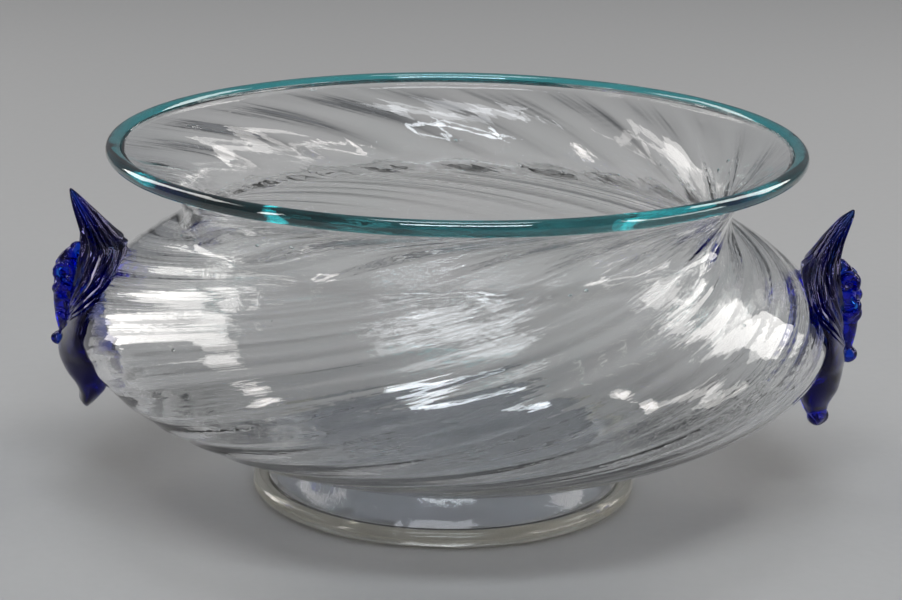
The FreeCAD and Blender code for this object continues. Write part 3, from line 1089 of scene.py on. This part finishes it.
RIGHT_LINES = HandleLines(
    outer=(
        (136, 668), (149, 684), (168, 680), (183, 684), (212, 700), (241, 707), (279, 711), (316, 701), (372, 699),
        (428, 693), (456, 692), (484, 697), (508, 705), (529, 713), (541, 716),
    ),
    inner=(
        (136, 660), (140, 656), (152, 648), (167, 640), (188, 630), (429, 622), (457, 640), (480, 653), (502, 668),
        (524, 684), (541, 704),
    ),
    widths=(
        (136, 20), (152, 34), (168, 28), (186, 44), (220, 68), (260, 94), (300, 122), (340, 144), (370, 150),
        (400, 136), (440, 94), (470, 66), (500, 42), (525, 24), (541, 11),
    ),
    lumps=(
        Lump(0.0352, 0.0701, 0.0000, 0.0028, 0.0019, 0.0090, 1),
        Lump(0.0436, 0.0692, 0.0000, 0.0014, 0.0012, 0.0014, 3, 0.4),
        Lump(0.0410, 0.0706, -0.0006, 0.0024, 0.0023, 0.0020, 5, -1.1),
        Lump(0.0382, 0.0710, 0.0006, 0.0025, 0.0024, 0.0022, 5, 1.0),
        Lump(0.0351, 0.0711, -0.0002, 0.0024, 0.0023, 0.0021, 4, -0.7),
        Lump(0.0316, 0.0706, 0.0004, 0.0021, 0.0020, 0.0020, 4, 0.5),
        Lump(0.0272, 0.0714, 0.0000, 0.0017, 0.0014, 0.0016, 3, 0.3),
        Lump(0.0154, 0.0664, 0.0000, 0.0022, 0.0024, 0.0019, 3, 0.5),
    ),
    curls=(
        Curl(0.0410, 0.0708, 0.0026, 0.0013, 0.0007, -30.0, 220.0),
        Curl(0.0368, 0.0709, 0.0027, 0.0016, 0.0007, -200.0, 60.0),
    ),
    leaf_end=0.0284,
    leaf_top=0.0455,
    azimuth=-math.radians(3.0),
    twist=-0.10,
)


@dataclass
class PulledHandle:
    """A cobalt gather pressed on the belly, fluted, drawn up into a horn and down into a tail."""

    side: Side
    lines: HandleLines
    wall: BlownWall
    flutes: int = 6
    flute_depth: float = 0.00105
    leaf_raise: float = 0.00045
    leaf_wrap: float = 1.12
    leaf_power: float = 0.85
    least_spread: float = 0.16
    twist_rate: float = 160.0
    rim_start: float = 0.9
    rim_width: float = 0.12
    groove_share: float = 0.42
    groove_power: float = 0.8
    tail_wave: float = 0.00016
    tail_waves: int = 4
    tail_rate: float = 420.0
    end_gap: float = 0.004
    bunching: float = 0.35
    bluntness: int = 14
    press_share: float = 0.22
    least_back: float = 0.0006
    least_edge: float = 0.0008
    deepest: float = 0.45
    bite: float = 0.00035
    lobe_depth: float = 0.16
    lobe_turns: float = 3.0
    rows: int = 190
    columns: int = 300
    fine_steps: int = 400
    easing: int = 12
    lump_mesh: tuple[int, int] = (24, 60)
    bead_mesh: tuple[int, int] = (8, 16)
    bead_size: float = 0.001
    voxel: float = 0.0002
    soften_share: float = 0.5
    soften_rounds: int = 5
    crease_angle: float = 55.0

    def _at(self, pairs: tuple[tuple[int, int], ...], heights: Array) -> Array:
        """Reads one of the handle's lines, with its corners eased.

        Args:
            pairs: The line, as (height, size) pairs in tenths of a millimetre.
            heights: Where to read it, in metres.

        Returns:
            The size at each height, in metres.
        """
        known = np.array(pairs) / TENTHS_PER_METRE
        fine = np.linspace(known[0, 0], known[-1, 0], self.fine_steps)
        read = np.interp(fine, known[:, 0], known[:, 1])
        window = np.hanning(2 * self.easing + 1)
        padded = np.concatenate([np.full(self.easing, read[0]), read, np.full(self.easing, read[-1])])
        return np.interp(heights, fine, np.convolve(padded, window / window.sum(), mode="valid"))

    def _relief(self, heights: Array, turn: Array, edge: Array) -> Array:
        """The flutes of the leaf, which draw together at its lower point, and the tail's slow waves.

        Args:
            heights: Height of each ring.
            turn: Angle around the section, 0 straight out of the bowl.
            edge: Distance of the skin from the section's middle.

        Returns:
            How far the skin stands out of the plain section, in metres.
        """
        lines = self.lines
        share = np.clip((heights - lines.leaf_end) / (lines.leaf_top - lines.leaf_end), 0, 1)
        spread = np.maximum(share**self.leaf_power * self.leaf_wrap * math.pi, self.least_spread)[:, None]
        turned = turn + lines.twist * np.sin((heights - lines.leaf_end) * self.twist_rate)[:, None]
        away = np.abs((turned + math.pi) % FULL_TURN - math.pi) / spread
        inside = (1 - eased((away - self.rim_start) / self.rim_width)) * eased(share / self.rim_width)[:, None]
        pitch = spread / self.flutes * edge
        depth = np.minimum(self.flute_depth, self.groove_share * pitch)
        groove = ((1 - np.cos(FULL_TURN * self.flutes * away)) / 2) ** self.groove_power
        wave = self.tail_wave * np.cos(self.tail_waves * turn + self.tail_rate * heights[:, None])
        raised = np.minimum(self.leaf_raise * (1 - share[:, None]), pitch)
        return inside * (raised - depth * groove) + (1 - inside) * wave

    def _gather_rings(self) -> Array:
        """Level rings of the gather in its own frame, with X straight out of the bowl.

        Returns:
            Points shaped (rows, columns, 3).
        """
        lines = self.lines
        low, high = (lines.outer[end][0] / TENTHS_PER_METRE for end in (0, -1))
        share = np.linspace(self.end_gap, 1 - self.end_gap, self.rows)
        bunched = (high - low) * (0.5 - 0.5 * np.cos(math.pi * share)) * self.bunching
        heights = low + bunched + (high - low) * share * (1 - self.bunching)
        outer, inner, half = (self._at(pairs, heights) for pairs in (lines.outer, lines.inner, lines.widths))
        ends = np.sqrt(np.clip(1 - np.abs(2 * share - 1) ** self.bluntness, 0.02, 1))
        wall = self.wall.reach_at(heights)
        middle = (outer + inner) / 2
        centre = np.where(inner < wall, np.maximum(middle, wall + self.press_share * (outer - wall)), middle)
        out, back = (outer - centre) * ends, np.maximum(centre - inner, self.least_back) * ends
        turn = round_turn(self.columns)
        radial = np.where(np.cos(turn) > 0, out[:, None], back[:, None]) * np.cos(turn)
        edge = np.maximum(np.hypot(out[:, None] * np.cos(turn), half[:, None] * np.sin(turn)), self.least_edge)
        keep = 1 + np.maximum(self._relief(heights, turn, edge) / edge, -self.deepest)
        radial = radial * keep
        aside = half[:, None] * ends[:, None] * np.sin(turn) * keep
        limit = np.where(inner[:, None] < wall[:, None], wall[:, None] - self.bite - centre[:, None], -1.0)
        clipped = np.maximum(radial, limit)
        reach = centre[:, None] + clipped
        bend = aside / np.maximum(centre, 0.05)[:, None]
        return rings_at(reach, bend, heights[:, None])

    def _lump_rings(self, lump: Lump) -> Array:
        """Rings of one pinched lump, lobed and twisted.

        Args:
            lump: The lump.

        Returns:
            Points shaped (rows, columns, 3).
        """
        rise, turn = ball_angles(*(self.lump_mesh if lump.out > self.bead_size else self.bead_mesh))
        pinch = (1 - np.cos(lump.lobes * turn + lump.twist * self.lobe_turns * rise)) / 2
        across = np.cos(rise) * (1 - self.lobe_depth * pinch if lump.lobes > 1 else 1.0)
        reach = lump.reach + lump.out * across * np.cos(turn)
        aside = lump.aside + lump.wide * across * np.sin(turn)
        return np.stack([reach, aside, np.broadcast_to(lump.height + lump.tall * np.sin(rise), reach.shape)], axis=2)

    def _skin_of(self, name: str, parts: list[Array]) -> Thing:
        """One object that holds a closed skin for each set of rings."""
        return shaded_mesh(self.side.value + name, *merged_skins(parts))

    def make(self) -> Thing:
        """Builds the gather and its pinched ridge as one form and dresses it.

        Returns:
            The handle.
        """
        lumps = list(self.lines.lumps) + [lump for curl in self.lines.curls for lump in curl.lumps()]
        gather = self._skin_of("_gather", [self._gather_rings()])
        ridge = self._skin_of("_ridge", [self._lump_rings(lump) for lump in lumps])
        melt = ridge.modifiers.new("melt", "REMESH")
        melt.mode = "VOXEL"
        melt.voxel_size = self.voxel
        melt.use_smooth_shade = True
        soften = ridge.modifiers.new("soften", "SMOOTH")
        soften.factor = self.soften_share
        soften.iterations = self.soften_rounds
        join = gather.modifiers.new("join", "BOOLEAN")
        join.operation = "UNION"
        join.solver = "EXACT"
        join.object = ridge
        bpy.context.view_layer.update()
        joined = bpy.data.meshes.new_from_object(gather.evaluated_get(bpy.context.evaluated_depsgraph_get()))
        bpy.data.objects.remove(gather)
        bpy.data.objects.remove(ridge)
        joined.transform(Matrix.Rotation(self.lines.azimuth, 4, "Z"))
        joined.polygons.foreach_set("use_smooth", [True] * len(joined.polygons))
        joined.set_sharp_from_angle(angle=math.radians(self.crease_angle))
        handle = bpy.data.objects.new("pulled_handle_" + self.side.value, joined)
        bpy.context.scene.collection.objects.link(handle)
        dress(handle, Glass.COBALT)
        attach(handle, "root")
        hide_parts(self.side.value + "_handle")
        return handle


# The studio


WARM = (1.0, 0.97, 0.94)
WARMER = (1.0, 0.95, 0.92)


@dataclass(frozen=True)
class Softbox:
    """One soft studio light, aimed at a point near the bowl."""

    name: str
    place: Triple
    size: Pair
    power: float
    colour: Triple = WARM
    aim: Triple = (0.0, 0.0, 0.04)

    def make(self) -> None:
        """Builds the light and aims it."""
        data = bpy.data.lights.new(self.name, "AREA")
        data.shape = "RECTANGLE"
        data.size, data.size_y = self.size
        data.energy = self.power
        data.color = self.colour
        lamp = bpy.data.objects.new(self.name, data)
        lamp.location = self.place
        toward = Vector(self.aim) - Vector(self.place)
        lamp.rotation_euler = toward.to_track_quat("-Z", "Y").to_euler()
        lamp.visible_camera = False
        bpy.context.scene.collection.objects.link(lamp)


@dataclass
class Studio:
    """The pale floor, the soft light and the camera."""

    floor_half: float = 3.0
    focal_px: float = 2641.7
    image_width: float = 902.0
    eye: Triple = (0.0, -0.4618, 0.1656)
    pitch: float = 15.784
    yaw: float = -0.0865
    roll: float = 0.935
    most_bounces: int = 20
    floor_drop: float = 0.00002
    floor_tone: float = 0.37
    cloud_share: float = 0.03
    grain_share: float = 0.02
    floor_tint: Triple = (1.0, 0.995, 0.985)
    air_colour: Colour = (0.30, 0.31, 0.33, 1.0)
    air_strength: float = 0.56
    softboxes: tuple[Softbox, ...] = (
        Softbox("left_softbox", (-0.61, 0.40, 0.42), (0.24, 0.58), 1.9),
        Softbox("right_softbox", (0.59, 0.36, 0.46), (0.30, 0.54), 2.2),
        Softbox("left_high_softbox", (-0.55, 0.10, 0.55), (0.20, 0.14), 0.38),
        Softbox("right_low_softbox", (0.70, -0.20, 0.16), (0.42, 0.13), 0.8),
        Softbox("left_front_strip", (-0.64, -0.38, 0.28), (0.07, 0.32), 0.6, WARMER),
        Softbox("right_front_strip", (0.62, -0.42, 0.28), (0.07, 0.32), 0.6, WARMER),
        Softbox("window", (0.04, -0.56, 0.78), (0.54, 0.14), 3.6, (0.88, 0.94, 1.0), (0.0, 0.0, 0.03)),
        Softbox("overhead", (0.0, 0.12, 1.25), (0.50, 0.36), 2.4, (0.93, 0.96, 1.0), (0.0, 0.0, 0.0)),
    )

    def _floor_material(self) -> bpy.types.Material:
        """Matt pale paint with a faint grain.

        Returns:
            The floor's material.
        """
        made = bpy.data.materials.new("pale_floor")
        made.use_nodes = True
        tree = made.node_tree
        place = object_place(tree)
        grain = noise_node(tree, place, 420.0, 3.0)
        tone = math_node(tree, "MULTIPLY_ADD", noise_node(tree, place, 3.0, 1.0), self.cloud_share, self.floor_tone)
        level = math_node(tree, "MULTIPLY_ADD", grain, self.grain_share, tone)
        channels = dict(enumerate(math_node(tree, "MULTIPLY", level, share) for share in self.floor_tint))
        paint = {
            "Roughness": 0.75,
            "Base Color": add_node(tree, "CombineColor", channels).outputs["Color"],
            "Normal": add_node(tree, "Bump", {"Strength": 0.15, "Distance": 0.0002, "Height": grain}).outputs["Normal"],
        }
        feed(tree.nodes["Principled BSDF"], paint)
        return made

    def make_floor(self) -> None:
        """Lays the floor under the bowl."""
        half = self.floor_half
        corners = np.array([[-half, -half, 0.0], [half, -half, 0.0], [half, half, 0.0], [-half, half, 0.0]])
        floor = shaded_mesh("floor", corners, [(0, 1, 2, 3)])
        floor.location.z = -self.floor_drop
        floor.data.materials.append(self._floor_material())

    def make_air(self) -> None:
        """Fills the room around the softboxes with dim light."""
        world = bpy.data.worlds.new("room")
        world.use_nodes = True
        feed(world.node_tree.nodes["Background"], {"Color": self.air_colour, "Strength": self.air_strength})
        bpy.context.scene.world = world

    def set_exposure(self) -> None:
        """Sets the picture's tones and lets light run on through many layers of glass."""
        scene = bpy.context.scene
        scene.view_settings.view_transform = "Standard"
        scene.cycles.max_bounces = self.most_bounces
        scene.cycles.transmission_bounces = self.most_bounces
        scene.cycles.glossy_bounces = self.most_bounces // 2

    def make_camera(self) -> None:
        """Stands the camera where the picture was taken from."""
        pitch, yaw, roll = (math.radians(angle) for angle in (self.pitch, self.yaw, self.roll))
        look = np.array([[1, 0, 0], [0, 0, -1], [0, 1, 0]], float)
        tilt = np.array([[1, 0, 0], [0, math.cos(pitch), -math.sin(pitch)], [0, math.sin(pitch), math.cos(pitch)]])
        swing = np.array([[math.cos(yaw), 0, -math.sin(yaw)], [0, 1, 0], [math.sin(yaw), 0, math.cos(yaw)]])
        lean = np.array([[math.cos(roll), -math.sin(roll), 0], [math.sin(roll), math.cos(roll), 0], [0, 0, 1]])
        turned = lean @ swing @ tilt @ look
        data = bpy.data.cameras.new("camera")
        data.sensor_width = 36.0
        data.lens = self.focal_px / self.image_width * data.sensor_width
        data.clip_start, data.clip_end = 0.01, 50.0
        camera = bpy.data.objects.new("camera", data)
        axes = np.column_stack([turned[0], -turned[1], -turned[2], self.eye])
        camera.matrix_world = Matrix([*axes.tolist(), [0.0, 0.0, 0.0, 1.0]])
        bpy.context.scene.collection.objects.link(camera)
        bpy.context.scene.camera = camera

    def make(self) -> None:
        """Sets the whole studio up."""
        self.make_floor()
        self.make_air()
        self.set_exposure()
        for softbox in self.softboxes:
            softbox.make()
        self.make_camera()


def main() -> None:
    """Builds the bowl's pieces in order, then the studio."""
    logging.basicConfig(level=logging.INFO, format="%(name)s: %(message)s")
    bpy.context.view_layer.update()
    wall = BlownWall(WallSizes())
    makers = [
        SwirledBody(wall),
        WallSeeds(wall),
        RimThread(wall),
        AppliedFoot(),
        PulledHandle(Side.LEFT, LEFT_LINES, wall),
        PulledHandle(Side.RIGHT, RIGHT_LINES, wall),
    ]
    for maker in makers:
        piece = maker.make()
        log.info("%s: %d faces", piece.name, len(piece.data.polygons))
    Studio().make()


if __name__ == "__main__":
    main()
